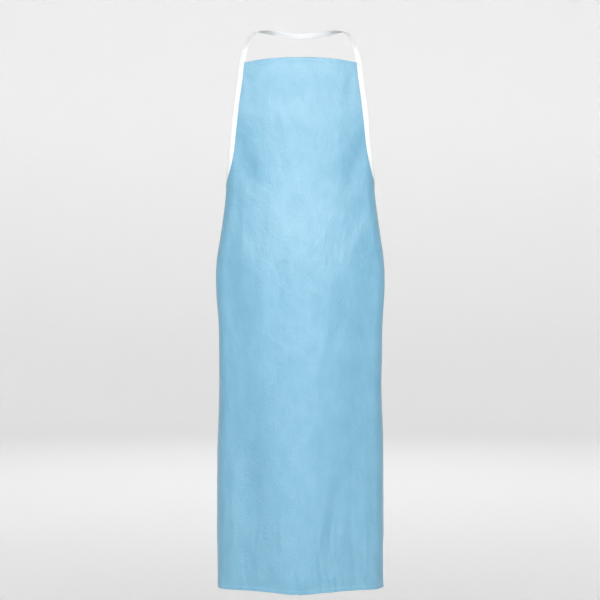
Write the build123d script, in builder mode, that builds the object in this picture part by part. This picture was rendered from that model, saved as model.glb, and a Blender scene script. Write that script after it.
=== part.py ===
"""Butcher apron in the shape it is worn in, held up by its neck strap.

Millimetres. +Z is up, the front faces -Y, and the origin is where the strap rests on the nape of the neck.
A place on the sheet is given as on the flat pattern: arc, the distance round from the front centre line
(positive to +X), and height above the bottom hem. Gap is how far a place lies inside the sheet's front face,
towards the wearer, and is negative in front of it.
"""

from build123d import *
from math import cos, hypot, pi, radians, sin, sqrt, tan
import os

# the flat pattern of the sheet
PANEL_HEIGHT = 1187
HALF_SKIRT = 375
HALF_BIB = 141
BIB_TAPER = 0.125
ARMHOLE_DROP = 305
ARMHOLE_SQUARENESS = 11
PANEL_THICKNESS = 0.8

# the worn shape: where the hem and the front centre line are, and the level sections' rounding
HEM_Z = -1267
FRONT_Y = -190
WING_ANGLE = radians(27)
SIDE_RADIUS = 38
BACK_RADIUS = 300
SECTION_SPACING = 45

# the armhole cutter runs past the sheet to this Y and Z
CUT_BACK = 200
CUT_TOP = 50

# height above the hem, half width, how far the front is set back there, and the radius of its front arc
LEVELS = (
    (0, 186.2, 0, 170),
    (300, 186.2, 2, 180),
    (440, 183, 3, 220),
    (560, 184, 2, 280),
    (700, 190.4, 0, 300),
    (915, 167, 6, 295),
    (1050, 169, 2, 295),
    (PANEL_HEIGHT, 172, 14, 295),
)

# the white tape, folded to half its width
TAPE_WIDTH = 12.5
TAPE_THICKNESS = 1.4
BINDING_LEAF = 0.7
BINDING_ROOM = 0.05
BINDING_STATIONS = 16
SHARE_STEP = 0.01

# the neck strap's route over the +X shoulder to the nape, with the way its outer face looks
STRAP_ROUTE = (
    ((129.0, -141.0, -73.0), (0.42, -0.90, 0.10)),
    ((123.5, -130.5, -52.0), (0.42, -0.82, 0.40)),
    ((115.5, -111.5, -29.0), (0.42, -0.62, 0.66)),
    ((106.5, -87.5, -11.0), (0.42, -0.34, 0.84)),
    ((95.5, -61.0, -0.5), (0.46, 0.00, 0.89)),
    ((79.0, -36.0, 3.5), (0.52, 0.35, 0.78)),
    ((57.0, -16.5, 3.0), (0.50, 0.66, 0.56)),
    ((30.0, -4.0, 1.2), (0.28, 0.89, 0.36)),
    ((0.0, 0.7, 0.0), (0.00, 0.96, 0.28)),
)

# the waist ties: how far each route point hangs below the tie's top end, and its sway away from the wearer;
# a corner's rounding takes the corner share of its shorter run
TIE_TOP_MARGIN = 2
TIE_CLEARANCE = 0.5
TIE_ROUTE = (
    (0, 0),
    (60, 0),
    (150, 2),
    (290, -3),
    (450, -6),
    (610, -1),
    (760, 5),
    (850, 6),
)
TIE_CORNER_SHARE = 0.45

# seams: thread size, and how far the rows of stitching run from the edges and stop short of each other
THREAD_WIDTH = 0.6
THREAD_SINK = 0.2
THREAD_PROUD = 0.3
HEM_WIDTH = 10
TAPE_SEAM_MARGIN = 1.5
SEAM_SPACING = 45
ROW_END_GAP = 1
BAR_TACK_LENGTH = 9
BAR_TACK_WIDTH = 2


def shape_at(height):
    """Half width, set-back and front radius of the level section at a height, eased between the named levels."""
    for low, high in zip(LEVELS, LEVELS[1:]):
        if height <= high[0]:
            break
    ease = (1 - cos(pi * (height - low[0]) / (high[0] - low[0]))) / 2
    return tuple(a + (b - a) * ease for a, b in zip(low[1:], high[1:]))


def stretches(half_width, front_radius):
    """Lengths and radii of a level section's stretches, from the front centre line to the back edge."""
    nose = front_radius * sin(WING_ANGLE)
    side = SIDE_RADIUS * (1 - sin(WING_ANGLE))
    wing = (half_width - nose - side) / cos(WING_ANGLE)
    rounds = front_radius * WING_ANGLE, SIDE_RADIUS * (pi / 2 - WING_ANGLE)
    back = HALF_SKIRT - wing - sum(rounds)
    return (rounds[0], front_radius), (wing, None), (rounds[1], SIDE_RADIUS), (back, BACK_RADIUS)


def place(arc, height, gap=0.0):
    """The point on the worn sheet, and the way its front face looks there."""
    half_width, set_back, front_radius = shape_at(min(max(height, 0), PANEL_HEIGHT))
    x, depth, heading, left = 0.0, set_back, 0.0, abs(arc)
    for length, radius in stretches(half_width, front_radius):
        run = min(left, length)
        if radius is None:
            x += run * cos(heading)
            depth += run * sin(heading)
        else:
            turned = heading + run / radius
            x += radius * (sin(turned) - sin(heading))
            depth += radius * (cos(heading) - cos(turned))
            heading = turned
        left -= run
    side = 1 if arc >= 0 else -1
    out = Vector(side * sin(heading), -cos(heading), 0)
    point = Vector(side * x, FRONT_Y + depth, HEM_Z + height)
    return point - out * gap, out


def armhole(share):
    """Arc and height of the armhole edge, from the bib's top (share 0) to the waist corner (share 1)."""
    drop = ARMHOLE_DROP * (1 - (1 - share) ** 3)
    flare = HALF_SKIRT - HALF_BIB - BIB_TAPER * ARMHOLE_DROP
    roundness = 1 - sqrt(1 - min(drop / ARMHOLE_DROP, 1) ** ARMHOLE_SQUARENESS)
    return HALF_BIB + BIB_TAPER * drop + flare * roundness, PANEL_HEIGHT - drop


def armhole_inward(share):
    """Unit step on the flat pattern from the armhole edge into the sheet."""
    before, after = armhole(max(share - SHARE_STEP, 0)), armhole(min(share + SHARE_STEP, 1))
    step = after[0] - before[0], after[1] - before[1]
    length = hypot(*step)
    return step[1] / length, -step[0] / length


def even_shares(count):
    """Shares that divide the armhole edge into equal lengths."""
    fine = spread(0, 1, SHARE_STEP / 5)
    edge = [armhole(share) for share in fine]
    lengths = [0.0]
    for before, after in zip(edge, edge[1:]):
        lengths.append(lengths[-1] + hypot(after[0] - before[0], after[1] - before[1]))
    wanted = [lengths[-1] * index / (count - 1) for index in range(count)]
    return [fine[min(range(len(fine)), key=lambda at: abs(lengths[at] - goal))] for goal in wanted]


def level_edges(height, gap):
    """The edges of one face of the sheet in a level section, from the -X edge round to the +X edge."""
    half_width, _, front_radius = shape_at(height)
    lengths = [length for length, radius in stretches(half_width, front_radius)]
    ends = [sum(lengths[: index + 1]) for index in range(len(lengths))]
    ends[-1] = HALF_SKIRT
    breaks = [-end for end in reversed(ends)] + ends
    for index, (start, end) in enumerate(zip(breaks, breaks[1:])):
        points = [place(arc, height, gap)[0] for arc in (start, (start + end) / 2, end)]
        flat = [(point.X, point.Y) for point in points]
        if index in (2, 4):
            Line(flat[0], flat[2])
        else:
            ThreePointArc(*flat)


def flat_section(shift, width, low, high):
    """A flat strip's section: shift is its middle across the strip, low and high its faces along out."""
    with Locations((shift, (low + high) / 2)):
        Rectangle(width, high - low)


def fold_section():
    """The section of tape folded over the sheet's edge, open on the side away from the edge."""
    half = TAPE_WIDTH / 2
    bottom = half - BINDING_LEAF
    back = -PANEL_THICKNESS - BINDING_ROOM
    Polygon(
        (-half, BINDING_LEAF),
        (half, BINDING_LEAF),
        (half, back - BINDING_LEAF),
        (-half, back - BINDING_LEAF),
        (-half, back),
        (bottom, back),
        (bottom, BINDING_ROOM),
        (-half, BINDING_ROOM),
        align=None,
    )


def strip(stations, draw_section, *sizes):
    """A loft along stations, each one (point, across, out), of the section that draw_section makes."""
    with BuildPart() as made:
        for point, across, out in stations:
            with BuildSketch(Plane(origin=point, x_dir=across, z_dir=across.cross(out))):
                draw_section(*sizes)
        loft()
    return made


def along_stations(points_and_outs):
    """Stations square to a route that is given as points and the way the strip's outer face looks there."""
    points = [Vector(*point) for point, out in points_and_outs]
    last = len(points) - 1
    stations = []
    for index, (_, out) in enumerate(points_and_outs):
        along = (points[min(index + 1, last)] - points[max(index - 1, 0)]).normalized()
        across = along.cross(Vector(*out)).normalized()
        stations.append((points[index], across, across.cross(along)))
    return stations


def spread(start, end, spacing):
    """Evenly spaced values from start to end, no further apart than spacing."""
    count = max(2, round(abs(end - start) / spacing) + 1)
    return [start + (end - start) * index / (count - 1) for index in range(count)]


def save(made, label):
    made.part.label = label
    export_step(made.part, f"parts/{label}.step")


def make_panel():
    """The sheet: a thin shell lofted through level sections, with both armholes cut by one side profile."""
    with BuildPart() as panel:
        for height in spread(0, PANEL_HEIGHT, SECTION_SPACING):
            with BuildSketch(Plane.XY.offset(HEM_Z + height)):
                with BuildLine():
                    level_edges(height, 0)
                    level_edges(height, PANEL_THICKNESS)
                    for side in (-1, 1):
                        front, back = (place(side * HALF_SKIRT, height, gap)[0] for gap in (0, PANEL_THICKNESS))
                        Line((front.X, front.Y), (back.X, back.Y))
                make_face()
        loft()
        edge = []
        for share in even_shares(BINDING_STATIONS):
            point = place(*armhole(share))[0]
            edge.append((point.Y, point.Z))
        with BuildSketch(Plane.YZ):
            with BuildLine():
                Spline(*edge)
                Polyline(
                    edge[-1],
                    (CUT_BACK, edge[-1][1]),
                    (CUT_BACK, CUT_TOP),
                    (edge[0][0], CUT_TOP),
                    edge[0],
                )
            make_face()
        extrude(amount=HALF_SKIRT, both=True, mode=Mode.SUBTRACT)
    return panel


def binding_stations(side):
    """Stations down the middle of one armhole's binding."""
    stations = []
    for share in even_shares(BINDING_STATIONS):
        arc, height = armhole(share)
        inward = armhole_inward(share)
        inner = arc + inward[0] * TAPE_WIDTH, height + inward[1] * TAPE_WIDTH
        reach = TAPE_WIDTH / 2 - BINDING_LEAF
        point, out = place(side * (arc + inward[0] * reach), height + inward[1] * reach)
        across = place(side * arc, height)[0] - place(side * inner[0], inner[1])[0]
        across = (across - out * across.dot(out)).normalized()
        stations.append((point, across, out))
    return stations


def seam(points):
    """A row of stitching through places on the sheet's front face."""
    stations = along_stations([(tuple(point), tuple(out)) for point, out in points])
    return strip(stations, flat_section, 0, THREAD_WIDTH, -THREAD_SINK, THREAD_PROUD)


def bar_tack(station, turn):
    """A short dense row of stitching on the tape's outer face, across the tape or along it."""
    point, across, out = station
    x_dir = across if turn == 0 else across.cross(out)
    surface = BINDING_LEAF - THREAD_SINK
    with BuildPart() as tack:
        with BuildSketch(Plane(origin=point + out * surface, x_dir=x_dir, z_dir=out)):
            SlotOverall(BAR_TACK_LENGTH, BAR_TACK_WIDTH)
        extrude(amount=THREAD_SINK + THREAD_PROUD)
    return tack


def tie_frame(side):
    """The tie's top middle, and its across and outward directions, on the inside of the waist corner."""
    lap = PANEL_THICKNESS + BINDING_LEAF + TIE_CLEARANCE + TAPE_THICKNESS / 2
    point, out = place(side * HALF_SKIRT, PANEL_HEIGHT - ARMHOLE_DROP, lap)
    across = Vector(0, 0, 1).cross(out) * side
    middle = point - across * (TAPE_WIDTH / 2) - Vector(0, 0, TIE_TOP_MARGIN)
    return middle, across, out


def tie_points(side, shift=0.0):
    """The tie's route, hanging from its top end, moved across the tape by shift."""
    top, across, out = tie_frame(side)
    return [top + across * shift + out * sway - Vector(0, 0, drop) for drop, sway in TIE_ROUTE]


def corner_radii(points):
    """As large a radius at each corner of a route as its two runs allow."""
    radii = []
    for before, here, after in zip(points, points[1:], points[2:]):
        turn = (here - before).get_angle(after - here)
        shorter = min((here - before).length, (after - here).length)
        radii.append(TIE_CORNER_SHARE * shorter / tan(radians(turn / 2)))
    return radii


def make_tie(side, shift, width, low, high):
    """A flat run down the tie's route: the tie itself, or the row of stitching on it."""
    points = tie_points(side, shift)
    top, across, out = tie_frame(side)
    radii = corner_radii(points)
    with BuildPart() as tie:
        with BuildLine() as route:
            FilletPolyline(*points, radius=radii)
        start = points[0] + out * ((low + high) / 2)
        with BuildSketch(Plane(origin=start, x_dir=across, z_dir=(0, 0, -1))):
            Rectangle(width, high - low)
        sweep(path=route.wire())
    print(f"tie radii {[round(radius) for radius in radii]} mm, length {route.wire().length:.0f} mm")
    print(f"  volume {tie.part.volume:.0f}, section times length {width * (high - low) * route.wire().length:.0f}")
    return tie


os.makedirs("parts", exist_ok=True)

apron_panel = make_panel()
save(apron_panel, "apron_panel")

hem_ends = HALF_BIB - TAPE_WIDTH - ROW_END_GAP
top_row = PANEL_HEIGHT - HEM_WIDTH + TAPE_SEAM_MARGIN
save(seam([place(arc, top_row) for arc in spread(-hem_ends, hem_ends, SEAM_SPACING / 2)]), "top_hem_stitching")

bottom_row = HEM_WIDTH - TAPE_SEAM_MARGIN
bottom_end = HALF_SKIRT - TAPE_SEAM_MARGIN
bottom = [place(arc, bottom_row) for arc in spread(-bottom_end, bottom_end, SEAM_SPACING / 2)]
save(seam(bottom), "bottom_hem_stitching")

strap_stations = along_stations(STRAP_ROUTE + tuple(
    ((-point[0], point[1], point[2]), (-out[0], out[1], out[2])) for point, out in reversed(STRAP_ROUTE[:-1])
))
neck_strap = strip(strap_stations, flat_section, 0, TAPE_WIDTH, -TAPE_THICKNESS / 2, TAPE_THICKNESS / 2)
save(neck_strap, "neck_strap")
seam_shift = TAPE_WIDTH / 2 - TAPE_SEAM_MARGIN
strap_surface = TAPE_THICKNESS / 2
strap_seam = strip(
    strap_stations,
    flat_section,
    seam_shift,
    THREAD_WIDTH,
    strap_surface - THREAD_SINK,
    strap_surface + THREAD_PROUD,
)
save(strap_seam, "neck_strap_stitching")

for side, name in ((-1, "left"), (1, "right")):
    stations = binding_stations(side)
    save(strip(stations, fold_section), f"armhole_binding_{name}")
    armhole_seam = strip(
        stations,
        flat_section,
        -seam_shift,
        THREAD_WIDTH,
        BINDING_LEAF - THREAD_SINK,
        BINDING_LEAF + THREAD_PROUD,
    )
    save(armhole_seam, f"armhole_stitching_{name}")
    side_arc = side * (HALF_SKIRT - HEM_WIDTH + TAPE_SEAM_MARGIN)
    side_top = PANEL_HEIGHT - ARMHOLE_DROP - TAPE_WIDTH - ROW_END_GAP
    side_row = [place(side_arc, height) for height in spread(bottom_row + 2 * ROW_END_GAP, side_top, SEAM_SPACING)]
    save(seam(side_row), f"side_hem_stitching_{name}")
    save(bar_tack(stations[0], 0), f"bib_bar_tack_{name}")
    save(bar_tack(stations[-1], 1), f"waist_bar_tack_{name}")
    save(make_tie(side, 0, TAPE_WIDTH, -TAPE_THICKNESS / 2, TAPE_THICKNESS / 2), f"waist_tie_{name}")
    tie_seam = make_tie(
        side,
        seam_shift,
        THREAD_WIDTH,
        TAPE_THICKNESS / 2 - THREAD_SINK,
        TAPE_THICKNESS / 2 + THREAD_PROUD,
    )
    save(tie_seam, f"waist_tie_stitching_{name}")
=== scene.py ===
"""Butcher apron in its worn shape: the sheet, its tape, its stitching, the light and the camera.

Metres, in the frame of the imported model: +Z up, the front faces -Y, the origin on the nape of the neck.
A place on the sheet is given as on its flat pattern: arc, the distance round from the front centre line
(positive to +X), and height above the bottom edge. Out is the way the sheet's front face looks.
"""

from math import pi, radians

import bpy
import numpy as np
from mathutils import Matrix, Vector


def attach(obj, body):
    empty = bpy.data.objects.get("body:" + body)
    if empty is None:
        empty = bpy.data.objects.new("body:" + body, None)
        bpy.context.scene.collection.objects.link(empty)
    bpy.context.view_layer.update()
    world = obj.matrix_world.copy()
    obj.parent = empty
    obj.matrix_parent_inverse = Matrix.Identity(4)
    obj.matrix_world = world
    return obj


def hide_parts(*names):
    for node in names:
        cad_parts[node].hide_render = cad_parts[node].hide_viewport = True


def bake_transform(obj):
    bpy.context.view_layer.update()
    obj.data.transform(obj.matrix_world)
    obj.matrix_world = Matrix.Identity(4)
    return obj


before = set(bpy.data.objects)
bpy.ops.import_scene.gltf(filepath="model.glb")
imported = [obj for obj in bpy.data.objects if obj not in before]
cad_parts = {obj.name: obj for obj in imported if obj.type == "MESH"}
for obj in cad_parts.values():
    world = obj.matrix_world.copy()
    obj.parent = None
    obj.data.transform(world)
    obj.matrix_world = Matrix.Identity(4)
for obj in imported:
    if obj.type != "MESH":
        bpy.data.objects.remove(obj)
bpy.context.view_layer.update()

SIDES = ((-1, "left"), (1, "right"))

# the sheet's flat pattern and place, as in the CAD part
HEM_Z = -1.267
FRONT_Y = -0.190
PANEL_HEIGHT = 1.187
HALF_SKIRT = 0.375
HALF_BIB = 0.141
BIB_TAPER = 0.125
ARMHOLE_DROP = 0.305
ARMHOLE_SQUARENESS = 11
WAIST_HEIGHT = PANEL_HEIGHT - ARMHOLE_DROP

# the level sections' rounding, and the half width, set-back and front radius at named heights
WING_ANGLE = radians(27)
SIDE_RADIUS = 0.038
BACK_RADIUS = 0.300
LEVELS = (
    (0.000, 0.1862, 0.000, 0.170),
    (0.300, 0.1862, 0.002, 0.180),
    (0.440, 0.1830, 0.003, 0.220),
    (0.560, 0.1840, 0.002, 0.280),
    (0.700, 0.1904, 0.000, 0.300),
    (0.915, 0.1670, 0.006, 0.295),
    (1.050, 0.1690, 0.002, 0.295),
    (PANEL_HEIGHT, 0.1720, 0.014, 0.295),
)

# how the bottom edge curls in and rises beside its middle, and how the bib's corners droop
HEM_CURL = 0.005
CURL_HEIGHT = 0.05
CURL_HALF_WIDTH = 0.12
HEM_LIFT = 0.0030
LIFT_HEIGHT = 0.35
LIFT_WIDTH = 0.19
BIB_DROOP = 0.0095
DROOP_HEIGHT = 0.12

# the sheet's cloth and hems, and how far a hem stands out, sinks at its seam and puckers along it
SHEET_THICKNESS = 0.00045
HEM_WIDTH = 0.010
SIDE_FOLD_RADIUS = 0.00045
LEVEL_FOLD_RADIUS = 0.00090
HEM_BAND = 0.00035
HEM_GROOVE = 0.00035
HEM_PUCKER = 0.00020

# the share of a hem's height that is left under the tape on an armhole, and the run in which it rises again
PRESSED_SHARE = 0.30
PRESSED_RUN = 0.012

# spacing: of the sheet's grid, of its lines in from a hemmed edge, and of the points on the armhole's edge
GRID_STEP = 0.0035
HEM_LINES = np.array([0, 1.0, 2.5, 4.5, 6.5, 7.7, 8.5, 9.3, 10.5, 12.5, 15.5]) / 1000
ARMHOLE_STEP = 0.0005

# tape, folded to its width; a binding's fold stands out past the edge that it closes, clear of the sheet
TAPE_WIDTH = 0.0125
TAPE_THICKNESS = 0.0014
BINDING_THICKNESS = 0.0019
BINDING_OVERHANG = 0.0009
BINDING_REACH = TAPE_WIDTH - BINDING_OVERHANG
BINDING_MIDDLE = TAPE_WIDTH / 2 - BINDING_OVERHANG
BINDING_CLEARANCE = SHEET_THICKNESS / 2 + 0.00005
STATION_STEP = 0.0011

# seams: how far in from a tape's edge or a hem's inner edge, how much they squeeze the tape between holes and
# more at a hole, and how far its edge wavers there
SEAM_MARGIN = 0.0015
SEAM_HALF_WIDTH = 0.0009
SEAM_PINCH = 0.15
HOLE_PINCH = 0.25
LEAF_SCALLOP = 0.00018

# thread: how far out it sits on half a tape's thickness, the share of each pitch that a stitch fills, and the
# bar tacks
THREAD_RADIUS = 0.00030
THREAD_SEAT = 0.80
STITCH_PITCH = 0.0045
TAPE_STITCH_PITCH = 0.0055
STITCH_SHARE = 0.80
TACK_LENGTH = 0.0090
TACK_WIDTH = 0.0022
TACK_PASSES = 19
TACK_THREAD_RADIUS = 0.9 * THREAD_RADIUS

# the neck strap's route over the +X shoulder, as in the CAD part, and the way its outer face looks, which
# turns a little more to the front than there
STRAP_ROUTE = (
    ((0.1235, -0.1305, -0.0520), (0.42, -0.82, 0.40)),
    ((0.1155, -0.1115, -0.0290), (0.42, -0.72, 0.56)),
    ((0.1065, -0.0875, -0.0110), (0.38, -0.62, 0.70)),
    ((0.0955, -0.0610, -0.0005), (0.38, -0.34, 0.86)),
    ((0.0790, -0.0360, 0.0035), (0.46, 0.16, 0.87)),
    ((0.0570, -0.0165, 0.0030), (0.50, 0.66, 0.56)),
    ((0.0300, -0.0040, 0.0012), (0.28, 0.89, 0.36)),
    ((0.0000, 0.0007, 0.0000), (0.00, 0.96, 0.28)),
)

# how far from its ends the strap is thicker, like the binding
STRAP_TAPER = 0.03

# the waist ties, as in the CAD part: the lap behind the sheet, and the route, given as drop below the tie's
# top end and sway away from the wearer
TIE_LENGTH = 0.85
TIE_TOP_MARGIN = 0.002
TIE_LAP = 0.0027
TIE_TWIST = radians(34)
TIE_ROUTE = (
    (0.000, 0.000),
    (0.060, 0.000),
    (0.150, 0.002),
    (0.290, -0.003),
    (0.450, -0.006),
    (0.610, -0.001),
    (0.760, 0.005),
    (0.850, 0.006),
)

# the camera stands level with the middle of the apron
CAMERA_PLACE = (-0.001, FRONT_Y - 3.0, -0.6166)
LENS = 81.8

# the stage: a round floor that bends up into a wall
FLOOR_DROP = 0.30
WALL_RADIUS = 9.0
WALL_HEIGHT = 6.0
STAGE_BEND = 2.5
BEND_STEPS = 13
STAGE_SEGMENTS = 96

# softboxes: name, place, the point that each one faces, width and height, and watts
BIB_MIDDLE = (0, FRONT_Y, -0.15)
SOFTBOXES = (
    ("front_softbox", (0, FRONT_Y - 5.2, 0.60), (0, FRONT_Y, 0.60), (7.4, 1.60), 158),
    ("top_softbox", (0, FRONT_Y - 5.1, 2.25), BIB_MIDDLE, (9.0, 1.73), 148),
    ("high_softbox_left", (-3.6, -2.9, 1.7), BIB_MIDDLE, (1.7, 1.3), 36),
    ("high_softbox_right", (3.6, -2.9, 1.7), BIB_MIDDLE, (1.7, 1.3), 36),
    ("rear_softbox", (0, 5.0, 3.0), (0, 0, -0.5), (6.0, 2.0), 70),
    ("wall_light", (0, 2.4, 3.6), (0, WALL_RADIUS, -0.5), (8.5, 2.4), 178),
    ("back_wall_light", (0, -4.4, 3.8), (0, -WALL_RADIUS, -2.6), (8.5, 2.4), 140),
)
WORLD_STRENGTH = 0.07

# colours, linear, and the pitch of the tape's ribs and warp and of the thread's twist
CLOTH_DEEP = (0.113, 0.307, 0.441, 1)
CLOTH_MIDDLE = (0.137, 0.343, 0.481, 1)
CLOTH_PALE = (0.175, 0.389, 0.528, 1)
TAPE_WHITE = (0.82, 0.82, 0.81, 1)
TAPE_SOILED = (0.77, 0.78, 0.78, 1)
# painted shade, laid into the troughs between the tape's ribs
TAPE_PAINTED_SHADE = (0.60, 0.62, 0.64, 1)
# each thread's second colour is painted shade, laid in the grooves of its twist
WHITE_THREAD = ((0.86, 0.86, 0.85, 1), (0.55, 0.56, 0.58, 1))
BLUE_THREAD = ((0.42, 0.66, 0.80, 1), (0.20, 0.42, 0.56, 1))
PAPER = (0.94, 0.94, 0.94, 1)
RIB_PITCH = 0.0011
WARP_PITCH = 0.0008
TWIST_PITCH = 0.0006


# ---------------------------------------------------------------- the worn sheet

def ease(share):
    """0 to 1 with level ends."""
    return (1 - np.cos(pi * np.clip(share, 0, 1))) / 2


def shape_at(height):
    """Half width, set-back and front radius of the level section at each height."""
    values = [np.full_like(height, start) for start in LEVELS[0][1:]]
    for low, high in zip(LEVELS, LEVELS[1:]):
        share = ease((height - low[0]) / (high[0] - low[0]))
        for value, before, after in zip(values, low[1:], high[1:]):
            value += (after - before) * share
    return values


def worn(arc, height):
    """The smooth worn shape: points, and the way its front face looks there."""
    half_width, set_back, front_radius = shape_at(height)
    nose = front_radius * np.sin(WING_ANGLE)
    side = SIDE_RADIUS * (1 - np.sin(WING_ANGLE))
    left = np.abs(arc)
    x = np.zeros_like(arc)
    depth = set_back.copy()
    heading = np.zeros_like(arc)
    stretches = (
        (front_radius * WING_ANGLE, front_radius),
        ((half_width - nose - side) / np.cos(WING_ANGLE), None),
        (SIDE_RADIUS * (pi / 2 - WING_ANGLE), SIDE_RADIUS),
        (np.inf, BACK_RADIUS),
    )
    for length, radius in stretches:
        run = np.minimum(left, length)
        if radius is None:
            x += run * np.cos(heading)
            depth += run * np.sin(heading)
        else:
            turned = heading + run / radius
            x += radius * (np.sin(turned) - np.sin(heading))
            depth += radius * (np.cos(heading) - np.cos(turned))
            heading = turned
        left = left - run
    sign = np.where(arc >= 0, 1.0, -1.0)
    out = np.stack([sign * np.sin(heading), -np.cos(heading), np.zeros_like(arc)], axis=-1)
    point = np.stack([sign * x, FRONT_Y + depth, HEM_Z + height], axis=-1)
    return point, out


def lattice_noise(u, v, seed):
    """Smooth noise from -1 to 1 over the plane, one random value for each whole u and v."""
    values = np.random.RandomState(seed).uniform(-1, 1, (256, 256))
    column, row = np.floor(u).astype(int), np.floor(v).astype(int)
    across, up = u - column, v - row
    across = across * across * (3 - 2 * across)
    up = up * up * (3 - 2 * up)
    corner = [[values[(column + i) % 256, (row + j) % 256] for j in (0, 1)] for i in (0, 1)]
    low = corner[0][0] * (1 - across) + corner[1][0] * across
    high = corner[0][1] * (1 - across) + corner[1][1] * across
    return low * (1 - up) + high * up


# soft folds: upper end (arc, height), lower end, half width, and depth, negative for a valley
FOLDS = (
    ((0.092, 0.300), (0.050, -0.020), 0.020, -0.0040),
    ((-0.128, 0.430), (-0.112, 0.120), 0.026, -0.0030),
    ((-0.052, 0.260), (-0.078, -0.030), 0.018, -0.0022),
    ((0.150, 0.330), (0.162, -0.030), 0.020, 0.0026),
    ((-0.168, 0.360), (-0.160, -0.030), 0.018, 0.0026),
    ((0.205, 0.905), (0.088, 0.700), 0.020, 0.0012),
    ((-0.205, 0.900), (-0.096, 0.690), 0.021, 0.0012),
    ((0.215, 0.850), (0.135, 0.560), 0.022, -0.0012),
    ((-0.212, 0.850), (-0.128, 0.540), 0.024, -0.0012),
    ((-0.018, 0.870), (-0.016, 0.480), 0.018, 0.0012),
    ((0.050, 0.850), (0.057, 0.500), 0.016, 0.0011),
    ((0.020, 0.840), (0.022, 0.520), 0.013, -0.0009),
    ((-0.050, 0.760), (-0.058, 0.480), 0.015, -0.0011),
    ((-0.082, 0.780), (-0.086, 0.520), 0.013, 0.0009),
    ((0.122, 1.175), (0.104, 1.080), 0.012, -0.0016),
    ((-0.122, 1.175), (-0.108, 1.075), 0.012, -0.0018),
    ((0.150, 1.030), (0.112, 0.900), 0.020, -0.0030),
    ((-0.150, 1.030), (-0.114, 0.900), 0.020, -0.0030),
    ((0.034, 0.640), (0.028, 0.360), 0.026, 0.0016),
    ((-0.020, 0.200), (-0.026, -0.040), 0.020, 0.0020),
    ((0.255, 0.700), (0.268, -0.030), 0.028, 0.0060),
    ((-0.262, 0.740), (-0.256, -0.030), 0.028, 0.0060),
    ((0.318, 0.640), (0.322, -0.030), 0.022, -0.0050),
    ((-0.320, 0.600), (-0.316, -0.030), 0.022, -0.0050),
)


def folds(arc, height):
    """How far the soft folds stand in front of the smooth shape, less the curl of the hem's middle."""
    total = np.zeros_like(arc)
    for upper, lower, half_width, depth in FOLDS:
        span = np.array(upper) - np.array(lower)
        length = np.hypot(*span)
        along = ((arc - lower[0]) * span[0] + (height - lower[1]) * span[1]) / length
        across = ((arc - lower[0]) * span[1] - (height - lower[1]) * span[0]) / length
        spread = half_width * (1.25 - 0.5 * np.clip(along / length, 0, 1))
        fade = ease(along / (0.45 * length) + 0.5) * ease((length - along) / (0.45 * length))
        total += depth * fade * np.exp(-((across / spread) ** 2))
    curl = HEM_CURL * ease(1 - height / CURL_HEIGHT) ** 2 * np.exp(-((arc / CURL_HALF_WIDTH) ** 2))
    return total - curl


def creases(arc, height):
    """Fine creases all over, drawn out downwards, and stronger in the lowest part of the skirt."""
    drift = 0.006 * lattice_noise(arc / 0.05, height / 0.09, 7)
    total = 0.00050 * lattice_noise((arc + drift) / 0.022, height / 0.060, 11)
    ridged = 1 - np.abs(lattice_noise((arc + drift) / 0.015, height / 0.032 + arc / 0.06, 12))
    total += 0.00045 * ridged**3
    streaks = lattice_noise((arc + 2 * drift) / 0.0085, height / 0.065, 13)
    total += 0.00130 * ease(1 - height / 0.30) * streaks
    return total


def edge_distance(arc, height):
    """Distance on the flat pattern from the nearest hemmed edge."""
    side = np.where(height < WAIST_HEIGHT, HALF_SKIRT - np.abs(arc), 1.0)
    return np.minimum(np.minimum(side, height), PANEL_HEIGHT - height)


def hem_relief(arc, height):
    """The hem's extra layer pushes the front out a little, and its stitching pulls it in."""
    distance = edge_distance(arc, height)
    band = HEM_BAND * ease((HEM_WIDTH + 0.002 - distance) / 0.003)
    groove = HEM_GROOVE * np.exp(-(((distance - HEM_WIDTH + SEAM_MARGIN) / SEAM_HALF_WIDTH) ** 2))
    pucker = HEM_PUCKER * np.sin(2 * pi * (arc + height) / (3 * STITCH_PITCH))
    return band - groove + pucker * ease((0.016 - distance) / 0.012)


def hem_rise(arc, height):
    """The bottom edge hangs a little higher beside the middle, and the bib's corners droop."""
    beside = np.sin(np.clip(np.abs(arc) / LIFT_WIDTH, 0, 1) * pi)
    lift = HEM_LIFT * ease(1 - height / LIFT_HEIGHT) * beside
    cornered = np.clip(np.abs(arc) / HALF_BIB, 0, 1) ** 3
    droop = BIB_DROOP * ease(1 - (PANEL_HEIGHT - height) / DROOP_HEIGHT) * cornered
    return lift - droop


def on_sheet(arc, height, gap=0.0):
    """Points on the finished sheet, gap behind its middle layer, and the way its front looks."""
    arc, height = np.broadcast_arrays(np.asarray(arc, float), np.asarray(height, float))
    point, out = worn(arc, height)
    relief = folds(arc, height) + creases(arc, height) + hem_relief(arc, height)
    point = point + out * (relief - gap)[..., None]
    point[..., 2] += hem_rise(arc, height)
    return point, out


def armhole_curve():
    """The armhole edge on the flat pattern, +X side, in close, even steps from the bib's top down."""
    share = np.linspace(0, 1, 4001)
    drop = ARMHOLE_DROP * (1 - (1 - share) ** 3)
    flare = HALF_SKIRT - HALF_BIB - BIB_TAPER * ARMHOLE_DROP
    roundness = 1 - np.sqrt(1 - np.clip(drop / ARMHOLE_DROP, 0, 1) ** ARMHOLE_SQUARENESS)
    edge = np.stack([HALF_BIB + BIB_TAPER * drop + flare * roundness, PANEL_HEIGHT - drop], axis=1)
    return resample(edge, ARMHOLE_STEP)


def lengths_along(points):
    """The distance from a line's start to each of its points."""
    steps = np.linalg.norm(np.diff(points, axis=0), axis=1)
    return np.concatenate([[0.0], np.cumsum(steps)])


def at_lengths(rows, along, wanted):
    """The rows of a line at the wanted distances, where along is the distance of each of its own rows."""
    return np.stack([np.interp(wanted, along, column) for column in rows.T], axis=1)


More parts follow.
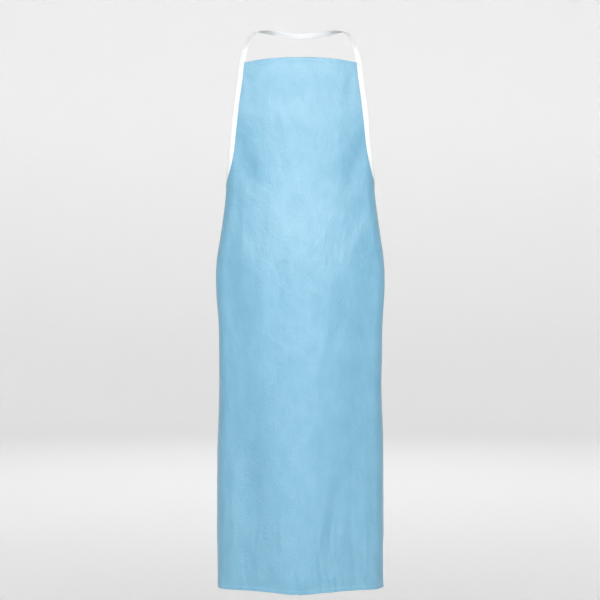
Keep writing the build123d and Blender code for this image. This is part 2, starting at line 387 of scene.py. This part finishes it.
def resample(rows, step):
    """The same line with rows about a step apart; a row is a point, and may carry more values after it."""
    along = lengths_along(rows[:, :3])
    wanted = np.linspace(0, along[-1], round(along[-1] / step) + 1)
    return at_lengths(rows, along, wanted)


def unit(vectors):
    """The same vectors, one unit long."""
    return vectors / np.linalg.norm(vectors, axis=-1, keepdims=True)


ARMHOLE = armhole_curve()


# ---------------------------------------------------------------- meshes

def new_object(name, vertices, faces, places=None):
    """A smooth-shaded mesh object; places are texture coordinates, one triple for each vertex."""
    mesh = bpy.data.meshes.new(name)
    mesh.from_pydata([tuple(v) for v in vertices], [], faces)
    mesh.validate()
    if places is not None:
        layer = mesh.attributes.new("place", "FLOAT_VECTOR", "POINT")
        layer.data.foreach_set("vector", np.asarray(places, dtype=np.float32).ravel())
    mesh.polygons.foreach_set("use_smooth", [True] * len(mesh.polygons))
    piece = bpy.data.objects.new(name, mesh)
    bpy.context.scene.collection.objects.link(piece)
    return piece


def grid_faces(rows, columns, wrap=False):
    """Faces of a grid of vertices; wrap joins its last column to its first."""
    faces = []
    for row in range(rows - 1):
        for column in range(columns if wrap else columns - 1):
            beside = (column + 1) % columns
            faces.append((
                row * columns + column,
                row * columns + beside,
                (row + 1) * columns + beside,
                (row + 1) * columns + column,
            ))
    return faces


def strip_faces(stations, count):
    """Faces of a closed strip with a ring of count vertices at each station, and of its two ends."""
    last = (stations - 1) * count
    ends = [tuple(reversed(range(count))), tuple(range(last, last + count))]
    return grid_faces(stations, count, wrap=True) + ends


def strip_places(along, across, out):
    """The texture coordinates of a closed strip: along it, across it and out."""
    return np.stack([np.repeat(along, across.shape[1]), across.ravel(), out.ravel()], axis=1)


def ways_across(line, outs):
    """The unit ways ahead along a line and across it, in its faces."""
    ahead = unit(np.gradient(line, axis=0))
    return ahead, unit(np.cross(ahead, outs))


def tube(points, outs, profile):
    """A closed strip: profile gives, for every station, points as (across, out), in order round it."""
    ahead, across = ways_across(points, outs)
    out = np.cross(across, ahead)
    vertices = points[:, None] + across[:, None] * profile[..., :1] + out[:, None] * profile[..., 1:]
    places = strip_places(lengths_along(points), profile[..., 0], profile[..., 1])
    return vertices.reshape(-1, 3), strip_faces(*profile.shape[:2]), places


def edge_steps(first, last):
    """Grid lines across a hemmed strip: close together at its two hems and even between them."""
    middle_first, middle_last = first + HEM_LINES[-1], last - HEM_LINES[-1]
    count = round((middle_last - middle_first) / GRID_STEP) + 1
    middle = np.linspace(middle_first, middle_last, count)
    return np.concatenate([first + HEM_LINES[:-1], middle, (last - HEM_LINES[:-1])[::-1]])


def fold_steps(radius):
    """How far along the turned hem its grid lines are, from the end of the flat front layer."""
    turn = radius * pi
    round_fold = turn * np.array([0.25, 0.5, 0.75, 1.0])
    turned_layer = turn + np.array([0.002, 0.0045, 0.007, HEM_WIDTH])
    return np.concatenate([round_fold, turned_layer])


def fold_place(run, radius):
    """Distance past the end of the front layer, and gap behind it, for a run along the turned hem."""
    turned = np.minimum(run / radius, pi)
    return radius * np.sin(turned) - np.maximum(run - pi * radius, 0), radius * (1 - np.cos(turned))


def hemmed_axis(low, high, radius):
    """Grid lines with both turned hems: flat position, gap behind the front, and place along the cloth."""
    front = edge_steps(low + radius, high - radius)
    runs = fold_steps(radius)
    past, gaps = fold_place(runs, radius)
    flat = np.concatenate([(front[0] - past)[::-1], front, front[-1] + past])
    gap = np.concatenate([gaps[::-1], np.zeros(len(front)), gaps])
    cloth = np.concatenate([(front[0] - runs)[::-1], front, front[-1] + runs])
    return flat, gap, cloth


def flattened(arc, height, gap):
    """The gap behind the front layer, less where a turned hem runs in under the tape on an armhole."""
    near = (gap > 0) & (height > WAIST_HEIGHT - 0.05)
    spots = np.stack([np.abs(arc[near]), height[near]], axis=-1)
    distance = np.sqrt(((spots[:, None] - ARMHOLE[::8]) ** 2).sum(axis=-1)).min(axis=-1)
    gap = gap.copy()
    gap[near] *= PRESSED_SHARE + (1 - PRESSED_SHARE) * ease((distance - TAPE_WIDTH) / PRESSED_RUN)
    return gap


def snap_to_armhole(arc, height, spots):
    """Moves the numbered grid points to the nearest places on the armhole edges."""
    flat = np.stack([np.abs(arc.flat[spots]), height.flat[spots]], axis=1)
    nearest = np.array([np.argmin(((ARMHOLE - spot) ** 2).sum(axis=1)) for spot in flat])
    arc.flat[spots] = np.sign(arc.flat[spots]) * ARMHOLE[nearest, 0]
    height.flat[spots] = ARMHOLE[nearest, 1]


def make_panel():
    """The sheet with its hems turned back, cut along both armholes."""
    arcs, arc_gaps, cloth_arcs = hemmed_axis(-HALF_SKIRT, HALF_SKIRT, SIDE_FOLD_RADIUS)
    heights, height_gaps, cloth_heights = hemmed_axis(0, PANEL_HEIGHT, LEVEL_FOLD_RADIUS)
    arc, height = np.meshgrid(arcs, heights)
    cloth_arc, cloth_height = np.meshgrid(cloth_arcs, cloth_heights)
    gap = flattened(arc, height, arc_gaps[None, :] + height_gaps[:, None])
    edge_arc = np.interp(height, ARMHOLE[::-1, 1], ARMHOLE[::-1, 0], left=1.0)
    hemmed = (np.abs(cloth_arc) <= HALF_SKIRT) | (height < WAIST_HEIGHT - 0.001)
    inside = (np.abs(arc) <= edge_arc) & hemmed
    kept = [
        face
        for face in grid_faces(*arc.shape)
        if any(inside.flat[corner] for corner in face)
    ]
    used = np.unique(np.array(kept))
    snap_to_armhole(arc, height, used[~inside.flat[used]])
    points = on_sheet(arc, height, gap)[0]
    new_index = {old: new for new, old in enumerate(used)}
    faces = [tuple(new_index[corner] for corner in face) for face in kept]
    places = np.stack([cloth_arc, cloth_height, gap], axis=-1).reshape(-1, 3)[used]
    piece = new_object("apron_sheet", points.reshape(-1, 3)[used], faces, places)
    solid = piece.modifiers.new("thickness", "SOLIDIFY")
    solid.thickness = SHEET_THICKNESS
    solid.offset = 0
    return piece


def binding_edge(step):
    """The armhole edge and the unit way into the sheet from it, on the flat pattern."""
    edge = resample(ARMHOLE, step)
    ahead = unit(np.gradient(edge, axis=0))
    return edge, np.stack([ahead[:, 1], -ahead[:, 0]], axis=1)


def stitch_dip(along):
    """0 between two stitch holes in a tape and 1 at a hole."""
    return np.abs(np.cos(pi * along / TAPE_STITCH_PITCH))[:, None] ** 6


def pinch(across, seam, dip):
    """The share of a tape's thickness that is left near its seam."""
    near = np.exp(-(((across - seam) / SEAM_HALF_WIDTH) ** 2))
    return 1 - near * (SEAM_PINCH + HOLE_PINCH * dip)


def binding_section():
    """Tape folded over an edge, in section: distances in from the edge, and out from the sheet's middle."""
    half = BINDING_THICKNESS / 2
    seam = BINDING_REACH - SEAM_MARGIN
    flat = [BINDING_REACH - 0.0003, seam + 0.0008, seam, seam - 0.0008, 0.006, 0.003]
    front = [(BINDING_REACH, 0.82 * half)] + [(inwards, half) for inwards in flat]
    turn = np.linspace(pi / 2, -pi / 2, 7)
    bend = [(-0.9 * half * np.cos(angle), half * np.sin(angle)) for angle in turn]
    back = [(inwards, -out) for inwards, out in reversed(front)]
    bottom = 0.0004
    slot = [
        (BINDING_REACH, -BINDING_CLEARANCE),
        (bottom, -BINDING_CLEARANCE),
        (bottom, BINDING_CLEARANCE),
        (BINDING_REACH, BINDING_CLEARANCE),
    ]
    return np.array(front + bend + back + slot).T


def make_binding(side, name):
    """Tape folded over one armhole edge, following the sheet."""
    edge, inward = binding_edge(STATION_STEP)
    along = lengths_along(edge)
    dip = stitch_dip(along)
    section_in, section_out = binding_section()
    seam = BINDING_REACH - SEAM_MARGIN
    outer = np.abs(section_out) > BINDING_CLEARANCE
    lift = section_out * np.where(outer, pinch(section_in, seam, dip), 1.0)
    inwards = section_in + LEAF_SCALLOP * (dip - 0.5) * (section_in > seam)
    arc = edge[:, :1] + inward[:, :1] * inwards
    height = edge[:, 1:] + inward[:, 1:] * inwards
    points, out = on_sheet(side * arc, height)
    points = points + out * lift[..., None]
    faces = strip_faces(*inwards.shape)
    if side > 0:
        faces = [tuple(reversed(face)) for face in faces]
    places = strip_places(along, inwards, lift)
    return new_object(f"armhole_tape_{name}", points.reshape(-1, 3), faces, places)


def smooth_route(rows):
    """A smooth line through all the rows, with evenly spaced stations."""
    ends = np.concatenate([[2 * rows[0] - rows[1]], rows, [2 * rows[-1] - rows[-2]]])
    share = np.linspace(0, 1, 24, endpoint=False)[:, None]
    pieces = []
    for a, b, c, d in zip(ends, ends[1:], ends[2:], ends[3:]):
        straight = 2 * b + (c - a) * share
        bent = (2 * a - 5 * b + 4 * c - d) * share**2 + (3 * b - a - 3 * c + d) * share**3
        pieces.append((straight + bent) / 2)
    pieces.append(rows[-1:])
    return resample(np.concatenate(pieces), STATION_STEP)


def tape_section():
    """A folded tape's section, one thickness high: two flat faces, a folded edge and an open edge."""
    edge = TAPE_WIDTH / 2
    face = [
        (-edge + 0.0003, 0.40),
        (-edge + 0.0008, 0.50),
        (-edge + SEAM_MARGIN, 0.50),
        (-edge + 2 * SEAM_MARGIN, 0.50),
        (0, 0.50),
        (edge - 0.0020, 0.50),
        (edge - 0.0008, 0.47),
        (edge - 0.0002, 0.31),
    ]
    other = [(across, -out) for across, out in reversed(face)]
    groove = [(-edge, -0.25), (-edge + 0.0005, 0.0), (-edge, 0.25)]
    return np.array(face + [(edge, 0.0)] + other + groove)


def sewn_tape(points, outs, thickness, seam_side=1):
    """A folded tape along a route, with the dips of its row of stitches near one edge."""
    profile = np.repeat(tape_section()[None], len(points), axis=0)
    seam = -TAPE_WIDTH / 2 + SEAM_MARGIN
    dip = stitch_dip(lengths_along(points))
    profile[..., 1] *= thickness * pinch(profile[..., 0], seam, dip)
    profile[..., 0] *= seam_side
    if seam_side < 0:
        profile = profile[:, ::-1]
    return tube(points, outs, profile)


def strap_line():
    """The neck strap's middle line, from the -X bib corner round the nape to the +X one, and its outs."""
    edge, inward = binding_edge(0.004)
    corner = edge[0] + inward[0] * BINDING_MIDDLE
    half = [np.concatenate(pair) for pair in (on_sheet(*corner), *STRAP_ROUTE)]
    mirror = np.array([-1, 1, 1, -1, 1, 1])
    line = smooth_route(np.array([row * mirror for row in half] + half[-2::-1]))
    return line[:, :3], unit(line[:, 3:])


def tie_frame(side):
    """The tie's top middle, the way across it and the way its outer face looks."""
    point, out = worn(np.array(side * HALF_SKIRT), np.array(WAIST_HEIGHT))
    across = np.cross([0, 0, 1], out) * side
    top = point - out * TIE_LAP - across * (TAPE_WIDTH / 2) - np.array([0, 0, TIE_TOP_MARGIN])
    return top, across, out


def nurbs_points(name, route):
    """Points along the NURBS spline that has the route as its control points."""
    curve = bpy.data.curves.new(name, "CURVE")
    curve.dimensions = "3D"
    curve.resolution_u = 48
    spline = curve.splines.new("NURBS")
    spline.points.add(len(route) - 1)
    for point, place in zip(spline.points, route):
        point.co = (*place, 1)
    spline.order_u = 3
    spline.use_endpoint_u = True
    holder = bpy.data.objects.new(name, curve)
    mesh = bpy.data.meshes.new_from_object(holder)
    points = np.array([vertex.co[:] for vertex in mesh.vertices])
    bpy.data.meshes.remove(mesh)
    bpy.data.objects.remove(holder)
    bpy.data.curves.remove(curve)
    return points


def tie_line(side):
    """The hanging tie's line, and the way its outer face looks, which turns a little on the way down."""
    top, across, out = tie_frame(side)
    route = [top + out * sway - np.array([0, 0, drop]) for drop, sway in TIE_ROUTE]
    line = resample(nurbs_points("tie_route", route), STATION_STEP)
    share = np.clip((lengths_along(line) - 0.04) / TIE_LENGTH, 0, 1)
    twist = side * TIE_TWIST * np.sin(2.1 * pi * share) * ease(share * 3)
    outs = np.cos(twist)[:, None] * out + np.sin(twist)[:, None] * across
    return line, outs, route


# ---------------------------------------------------------------- thread

def thread(points, outs, radius):
    """One thread along a line of points."""
    angle = np.linspace(0, -2 * pi, 6, endpoint=False)
    ring = np.stack([np.cos(angle), np.sin(angle)], axis=1) * radius
    profile = np.repeat(ring[None], len(points), axis=0)
    profile[[0, -1]] *= 0.45
    return tube(points, outs, profile)


def joined(name, parts):
    """One object from several (vertices, faces, places)."""
    vertices, faces, places, start = [], [], [], 0
    for part_vertices, part_faces, part_places in parts:
        vertices.append(part_vertices)
        places.append(part_places)
        faces += [tuple(corner + start for corner in face) for face in part_faces]
        start += len(part_vertices)
    return new_object(name, np.concatenate(vertices), faces, np.concatenate(places))


def stitch_row(name, line, outs, pitch, half_gap):
    """Stitches along a line on both faces, each one rising out of the cloth and going back into it."""
    along = lengths_along(line)
    parts = []
    share = np.linspace(0, 1, 7)
    rise = THREAD_RADIUS * (1.35 * np.sin(pi * share) ** 0.6 - 0.75)
    for number in range(int(along[-1] / pitch)):
        wanted = (number + 0.5 + (share - 0.5) * STITCH_SHARE) * pitch
        base = at_lengths(line, along, wanted)
        out = unit(at_lengths(outs, along, wanted))
        for face in (1, -1):
            lifted = base + out * face * (half_gap + rise)[:, None]
            parts.append(thread(lifted, out, THREAD_RADIUS))
    return joined(name, parts)


def tape_stitching(name, line, outs, seam_side=1):
    """The row of stitches that closes a loose folded tape."""
    across = ways_across(line, outs)[1]
    seam = line - across * seam_side * (TAPE_WIDTH / 2 - SEAM_MARGIN)
    return stitch_row(name, seam, outs, TAPE_STITCH_PITCH, TAPE_THICKNESS / 2 * THREAD_SEAT)


def zigzag(name, middle, ahead, across, out):
    """A bar tack: one thread laid to and fro, close together."""
    points = []
    for number in range(TACK_PASSES):
        shift = ahead * TACK_LENGTH * (number / (TACK_PASSES - 1) - 0.5)
        way = -1 if number % 2 else 1
        for reach, lift in ((1, -0.3), (0.9, 0.9), (-0.9, 0.9), (-1, -0.3)):
            sideways = across * way * reach * TACK_WIDTH / 2
            points.append(middle + shift + sideways + out * THREAD_RADIUS * lift)
    line = resample(np.array(points), 0.0004)
    outs = np.repeat(out[None], len(line), axis=0)
    return new_object(name, *thread(line, outs, TACK_THREAD_RADIUS))


# ---------------------------------------------------------------- materials

class Shader:
    """A material's node tree, with short ways to add and join nodes."""

    def __init__(self, name, surface_values):
        self.material = bpy.data.materials.new(name)
        self.material.use_nodes = True
        self.tree = self.material.node_tree
        self.surface = self.tree.nodes["Principled BSDF"].inputs
        for key, value in surface_values.items():
            self.surface[key].default_value = value
        self.place = self.node("ShaderNodeAttribute", attribute_name="place").outputs["Vector"]

    def node(self, kind, **settings):
        """A new node."""
        made = self.tree.nodes.new(kind)
        for key, value in settings.items():
            setattr(made, key, value)
        return made

    def join(self, source, target):
        """Links two sockets."""
        self.tree.links.new(source, target)

    def feed(self, target, value):
        """Joins a socket, or sets a plain number."""
        if isinstance(value, bpy.types.NodeSocket):
            self.join(value, target)
        else:
            target.default_value = value

    def maths(self, operation, *values):
        """One sum on sockets or plain numbers."""
        made = self.node("ShaderNodeMath", operation=operation)
        for target, value in zip(made.inputs, values):
            self.feed(target, value)
        return made.outputs[0]

    def axes(self):
        """The place coordinates one by one: along, across and out."""
        made = self.node("ShaderNodeSeparateXYZ")
        self.join(self.place, made.inputs[0])
        return made.outputs

    def scaled(self, scale):
        """The place coordinates, scaled along each axis."""
        made = self.node("ShaderNodeVectorMath", operation="MULTIPLY")
        self.join(self.place, made.inputs[0])
        made.inputs[1].default_value = scale
        return made.outputs[0]

    def wave(self, coordinate, pitch):
        """A sine wave of the given pitch."""
        return self.maths("SINE", self.maths("MULTIPLY", coordinate, 2 * pi / pitch))

    def noise(self, scale, detail=2.0, stretch=(1, 1, 1), rough=0.5, output="Fac"):
        """Smooth noise, scale and stretch times finer than a metre."""
        made = self.node("ShaderNodeTexNoise")
        self.join(self.scaled(tuple(scale * part for part in stretch)), made.inputs["Vector"])
        made.inputs["Scale"].default_value = 1.0
        made.inputs["Detail"].default_value = detail
        made.inputs["Roughness"].default_value = rough
        return made.outputs[output]

    def ramp(self, value, low, high, low_out=0.0, high_out=1.0):
        """The value carried over from one range to another, and held there."""
        made = self.node("ShaderNodeMapRange", clamp=True)
        self.join(value, made.inputs["Value"])
        ranges = {"From Min": low, "From Max": high, "To Min": low_out, "To Max": high_out}
        for key, number in ranges.items():
            made.inputs[key].default_value = number
        return made.outputs["Result"]

    def mix(self, share, first, second):
        """A colour between two, each a socket or a plain colour."""
        made = self.node("ShaderNodeMix", data_type="RGBA")
        self.feed(made.inputs["Factor"], share)
        self.feed(made.inputs[6], first)
        self.feed(made.inputs[7], second)
        return made.outputs[2]

    def bump(self, height, strength, distance, before=None):
        """A normal that a height tips, on top of an earlier normal if there is one."""
        made = self.node("ShaderNodeBump")
        made.inputs["Strength"].default_value = strength
        made.inputs["Distance"].default_value = distance
        self.join(height, made.inputs["Height"])
        if before is not None:
            self.join(before, made.inputs["Normal"])
        return made.outputs["Normal"]


def sheet_material():
    """Coated cloth: soft mottling, a fine network of creases and an embossed grain."""
    s = Shader("coated_cloth", {"Specular IOR Level": 0.85})
    clouds = s.ramp(s.noise(9, 3), 0.36, 0.64)
    patches = s.ramp(s.noise(38, 4, (1, 0.6, 1)), 0.35, 0.65)
    colour = s.mix(s.maths("MULTIPLY", clouds, 0.55), CLOTH_MIDDLE, CLOTH_DEEP)
    colour = s.mix(s.maths("MULTIPLY", patches, 0.45), colour, CLOTH_PALE)
    s.join(colour, s.surface["Base Color"])
    fine = s.noise(260, 5, (1, 0.55, 1), 0.6)
    crumpled_below = s.ramp(s.axes()[1], 0.55, 0.0, 1.0, 2.6)
    normal = s.bump(crease_network(s), 0.20, 0.0006)
    normal = s.bump(s.maths("MULTIPLY", fine, crumpled_below), 0.45, 0.0016, normal)
    normal = s.bump(s.noise(1500, 2), 0.25, 0.0003, normal)
    s.join(normal, s.surface["Normal"])
    s.join(s.ramp(fine, 0.3, 0.7, 0.29, 0.37), s.surface["Roughness"])
    return s.material


def crease_network(s):
    """0 on the lines of a wavering network, which is drawn out downwards, and 1 between them."""
    wavering = s.node("ShaderNodeVectorMath", operation="ADD")
    s.join(s.noise(1, stretch=(60, 45, 60), output="Color"), wavering.inputs[0])
    s.join(s.scaled((52, 26, 52)), wavering.inputs[1])
    cells = s.node("ShaderNodeTexVoronoi", feature="DISTANCE_TO_EDGE")
    cells.inputs["Scale"].default_value = 1.0
    s.join(wavering.outputs[0], cells.inputs["Vector"])
    return s.ramp(cells.outputs["Distance"], 0.0, 0.16)


def tape_material():
    """White cotton tape: fine cross ribs and a plain weave, with painted shade in the troughs between the
    ribs.
    """
    s = Shader("ribbed_tape", {"Roughness": 0.85, "Sheen Weight": 0.15, "Specular IOR Level": 0.2})
    along, across = s.axes()[:2]
    ribs = s.wave(along, RIB_PITCH)
    warp = s.wave(across, WARP_PITCH)
    weave = s.maths("ADD", s.maths("MULTIPLY", ribs, 0.6), s.maths("MULTIPLY", warp, 0.35))
    soil = s.ramp(s.noise(70, 3), 0.35, 0.65)
    # painted shade: the tape's colour turns to the painted shade colour in the troughs between its ribs
    crests = s.ramp(ribs, -1.0, -0.2)
    colour = s.mix(crests, TAPE_PAINTED_SHADE, s.mix(soil, TAPE_WHITE, TAPE_SOILED))
    s.join(colour, s.surface["Base Color"])
    normal = s.bump(weave, 0.45, 0.00018)
    normal = s.bump(s.noise(1800, 3), 0.25, 0.0002, normal)
    s.join(normal, s.surface["Normal"])
    return s.material


def thread_material(name, light, painted_twist_shade):
    """Twisted sewing thread, darkened to a painted shade in the grooves of its twist."""
    s = Shader(name, {"Roughness": 0.6, "Sheen Weight": 0.2})
    along, across = s.axes()[:2]
    lay = s.maths("ADD", along, s.maths("MULTIPLY", across, 1.6))
    twist = s.wave(lay, TWIST_PITCH)
    # painted shade in the grooves of the twist
    s.join(s.mix(s.ramp(twist, -1.0, 0.4), painted_twist_shade, light), s.surface["Base Color"])
    s.join(s.bump(twist, 0.6, 0.00008), s.surface["Normal"])
    return s.material


def stage_material():
    """Plain pale studio paper."""
    paper = {"Base Color": PAPER, "Roughness": 0.95, "Specular IOR Level": 0.0}
    return Shader("studio_paper", paper).material


# ---------------------------------------------------------------- stage, light and camera

def make_stage():
    """A round floor that curves up into a wall all the way round, for views from every side."""
    floor = HEM_Z - FLOOR_DROP
    flat = WALL_RADIUS - STAGE_BEND
    turn = np.linspace(0, pi / 2, BEND_STEPS)
    profile = [(0.0, floor), (flat / 2, floor)]
    profile += [(flat + STAGE_BEND * np.sin(a), floor + STAGE_BEND * (1 - np.cos(a))) for a in turn]
    profile.append((WALL_RADIUS, floor + WALL_HEIGHT))
    angles = np.linspace(0, 2 * pi, STAGE_SEGMENTS, endpoint=False)
    vertices = [(r * np.cos(a), r * np.sin(a), z) for r, z in profile for a in angles]
    stage = new_object("studio_bowl", vertices, grid_faces(len(profile), len(angles), wrap=True))
    stage.data.materials.append(stage_material())


def add_softbox(name, place, target, size, power):
    """A rectangular light that faces a point and isn't itself seen."""
    light = bpy.data.lights.new(name, "AREA")
    light.shape = "RECTANGLE"
    light.size, light.size_y = size
    light.energy = power
    lamp = bpy.data.objects.new(name, light)
    lamp.location = place
    lamp.rotation_euler = (Vector(target) - Vector(place)).to_track_quat("-Z", "Y").to_euler()
    lamp.visible_camera = False
    bpy.context.scene.collection.objects.link(lamp)


def make_lights():
    """The softboxes and a faint light from all round."""
    for softbox in SOFTBOXES:
        add_softbox(*softbox)
    world = bpy.data.worlds.new("studio_air")
    world.use_nodes = True
    background = world.node_tree.nodes["Background"].inputs
    background["Color"].default_value = (1, 1, 1, 1)
    background["Strength"].default_value = WORLD_STRENGTH
    bpy.context.scene.world = world


def make_camera():
    """A level camera in front of the apron, and plain colours."""
    camera = bpy.data.cameras.new("camera")
    camera.lens = LENS
    camera.sensor_width = 36
    camera.clip_end = 50
    holder = bpy.data.objects.new("camera", camera)
    holder.location = CAMERA_PLACE
    holder.rotation_euler = (pi / 2, 0, 0)
    bpy.context.scene.collection.objects.link(holder)
    bpy.context.scene.camera = holder
    bpy.context.scene.view_settings.view_transform = "Standard"


# ---------------------------------------------------------------- the apron

def finish_piece(piece, material, body, node):
    """Gives a piece its material, hides the CAD part of the given node, and attaches the piece to its body if
    it has one.
    """
    piece.data.materials.append(material)
    if body:
        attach(piece, body)
    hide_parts(node)


def make_sheet(material):
    """The sheet, with its material, on the apron body."""
    sheet = make_panel()
    finish_piece(sheet, material, "apron", "apron_panel")


def make_hem_stitching(material):
    """Rows of stitches along the four hems, seen on both faces."""
    inset = HEM_WIDTH - SEAM_MARGIN
    bib = np.linspace(-HALF_BIB + TAPE_WIDTH, HALF_BIB - TAPE_WIDTH, 200)
    skirt = np.linspace(-HALF_SKIRT + 0.002, HALF_SKIRT - 0.002, 500)
    side_heights = np.linspace(inset + 0.003, WAIST_HEIGHT - TAPE_WIDTH - 0.001, 500)
    rows = [
        ("top_hem", "", bib, PANEL_HEIGHT - inset, LEVEL_FOLD_RADIUS),
        ("bottom_hem", "", skirt, inset, LEVEL_FOLD_RADIUS),
    ]
    for side, name in SIDES:
        rows.append(("side_hem", f"_{name}", side * (HALF_SKIRT - inset), side_heights, SIDE_FOLD_RADIUS))
    for hem, end, arc, height, radius in rows:
        line, outs = on_sheet(arc, height, radius)
        half_gap = radius + SHEET_THICKNESS / 2
        row = stitch_row(f"{hem}_thread{end}", line, outs, STITCH_PITCH, half_gap)
        finish_piece(row, material, "apron", f"{hem}_stitching{end}")


def make_armhole_bindings(material):
    """The tape folded over both armhole edges."""
    for side, name in SIDES:
        finish_piece(make_binding(side, name), material, "apron", f"armhole_binding_{name}")


def make_armhole_stitching(material):
    """The row of stitches that closes each binding on the sheet."""
    edge, inward = binding_edge(STATION_STEP)
    seam = edge + inward * (BINDING_REACH - SEAM_MARGIN)
    half_gap = BINDING_THICKNESS / 2 * THREAD_SEAT
    for side, name in SIDES:
        line, outs = on_sheet(side * seam[:, 0], seam[:, 1])
        row = stitch_row(f"armhole_thread_{name}", line, outs, TAPE_STITCH_PITCH, half_gap)
        finish_piece(row, material, "apron", f"armhole_stitching_{name}")


def make_bar_tacks(material):
    """Bar tacks across the binding at its top end, and along it near its waist end."""
    edge, inward = binding_edge(0.002)
    for side, name in SIDES:
        for label, station in (("bib", 2), ("waist", -4)):
            flat = edge[station] + inward[station] * BINDING_MIDDLE
            further = flat + inward[station] * 0.002
            middle, out = on_sheet(side * flat[0], flat[1])
            inwards = unit(on_sheet(side * further[0], further[1])[0] - middle)
            forward = np.cross(out, inwards)
            surface = middle + out * (BINDING_THICKNESS / 2)
            ways = (inwards, forward) if label == "bib" else (forward, inwards)
            tack = zigzag(f"{label}_bar_tack_thread_{name}", surface, *ways, out)
            finish_piece(tack, material, "apron", f"{label}_bar_tack_{name}")


def make_neck_strap(tape, thread_white):
    """The neck strap and its stitching, round the nape and bending down to the bib at its two ends."""
    line, outs = strap_line()
    along = lengths_along(line)
    taper = ease(np.minimum(along, along[-1] - along) / STRAP_TAPER)[:, None]
    thickness = BINDING_THICKNESS + (TAPE_THICKNESS - BINDING_THICKNESS) * taper
    strap = new_object("neck_tape", *sewn_tape(line, outs, thickness))
    finish_piece(strap, tape, None, "neck_strap")
    row = tape_stitching("neck_tape_thread", line, outs)
    finish_piece(row, thread_white, None, "neck_strap_stitching")
    for piece in (strap, row):
        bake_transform(piece)


def make_ties(tape, thread_white):
    """The two waist ties and their stitching, each on its own tie body."""
    for side, name in SIDES:
        line, outs, route = tie_line(side)
        piece = new_object(f"waist_tape_{name}", *sewn_tape(line, outs, TAPE_THICKNESS, side))
        finish_piece(piece, tape, f"tie_{name}", f"waist_tie_{name}")
        row = tape_stitching(f"waist_tape_thread_{name}", line, outs, side)
        finish_piece(row, thread_white, f"tie_{name}", f"waist_tie_stitching_{name}")


make_camera()
make_stage()
make_lights()
cloth = sheet_material()
white_tape = tape_material()
white_thread = thread_material("white_thread", *WHITE_THREAD)
blue_thread = thread_material("blue_thread", *BLUE_THREAD)

make_neck_strap(white_tape, white_thread)
make_armhole_bindings(white_tape)
make_sheet(cloth)
make_hem_stitching(blue_thread)
make_armhole_stitching(white_thread)
make_bar_tacks(white_thread)
make_ties(white_tape, white_thread)
